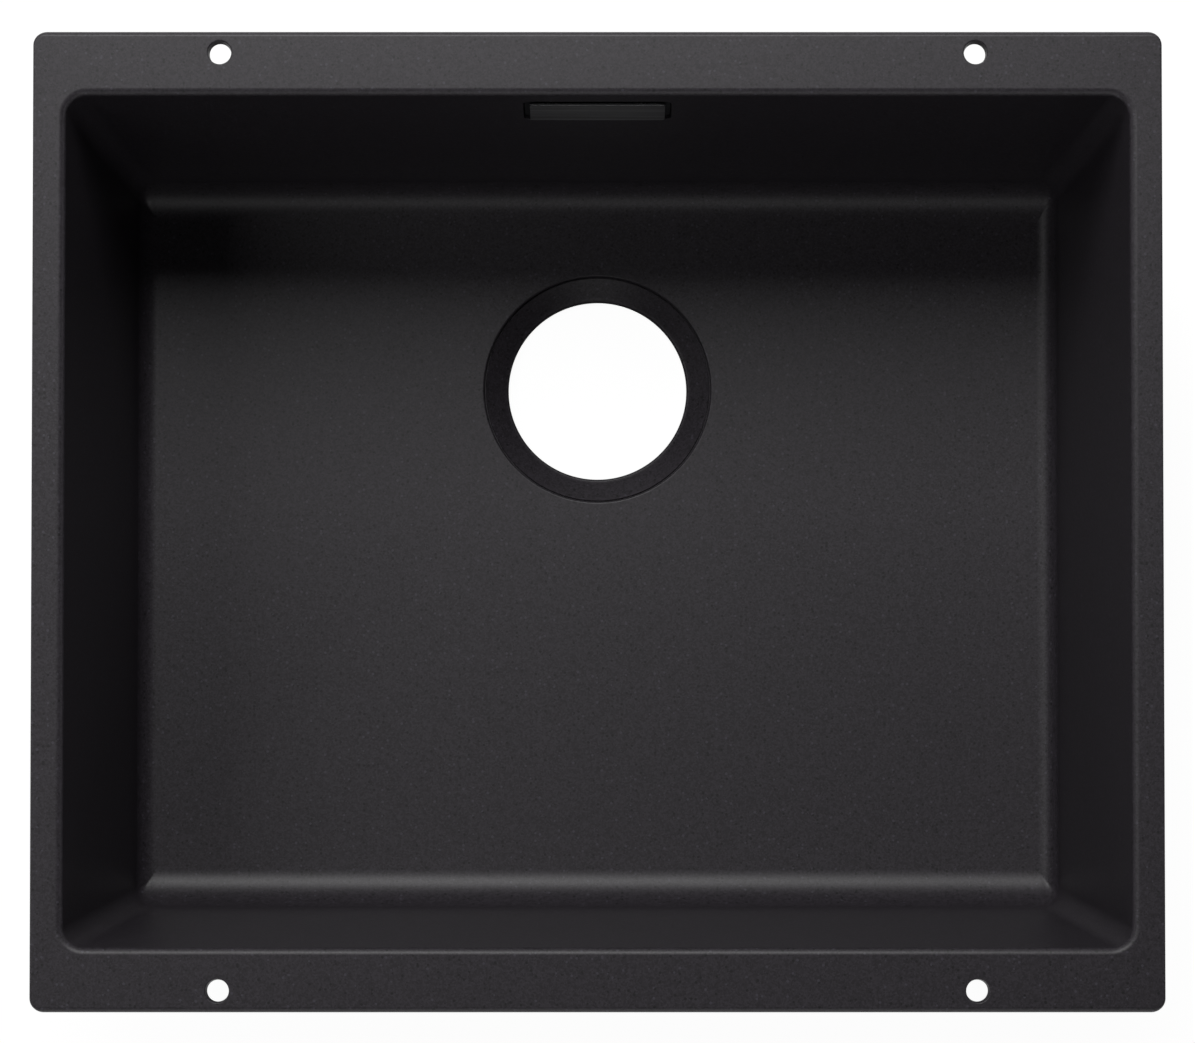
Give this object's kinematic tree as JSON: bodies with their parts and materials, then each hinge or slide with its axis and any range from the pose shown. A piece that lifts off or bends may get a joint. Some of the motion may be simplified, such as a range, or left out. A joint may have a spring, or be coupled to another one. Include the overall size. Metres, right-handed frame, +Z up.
{
  "type": "undermount kitchen sink",
  "caption": "Rectangular undermount kitchen sink moulded in dark granular composite, with a drain hole near its back and a pull-off overflow cover plate.",
  "frame": {"origin": "middle of the rim's top face, the face that is pressed up against the underside of the worktop", "axes": "+Z up out of the bowl, +X to the right and +Y to the back, the wall with the overflow, seen by a user who stands in front"},
  "size_m": [0.53, 0.46, 0.2045],
  "materials": {
    "composite": "matt, fine granular, dark grey quartz composite",
    "brushed_stainless": "brushed along the plate's length",
    "spring_steel": "bright rolled strip",
    "stainless_screw": "satin",
    "black_moulding": "moulded, lightly textured",
    "seal_rubber": "matt",
    "insert_brass": "turned and knurled"
  },
  "bodies": {
    "sink": {"sink_bowl": "composite", "overflow_frame": "black_moulding", "frame_seal": "seal_rubber", "wall_seal": "seal_rubber", "overflow_body": "black_moulding", "frame_screw_left": "stainless_screw", "frame_screw_right": "stainless_screw", "thread_insert_left": "insert_brass", "thread_insert_right": "insert_brass"},
    "cover": {"overflow_cover": "brushed_stainless", "cover_spring_left": "spring_steel", "cover_spring_right": "spring_steel"}
  },
  "joints": [
    {"name": "cover_pull", "type": "slide", "parent": "sink", "child": "cover", "axis": [0, -0.9945, 0.1047], "range_m": [0, 0.03]}
  ]
}
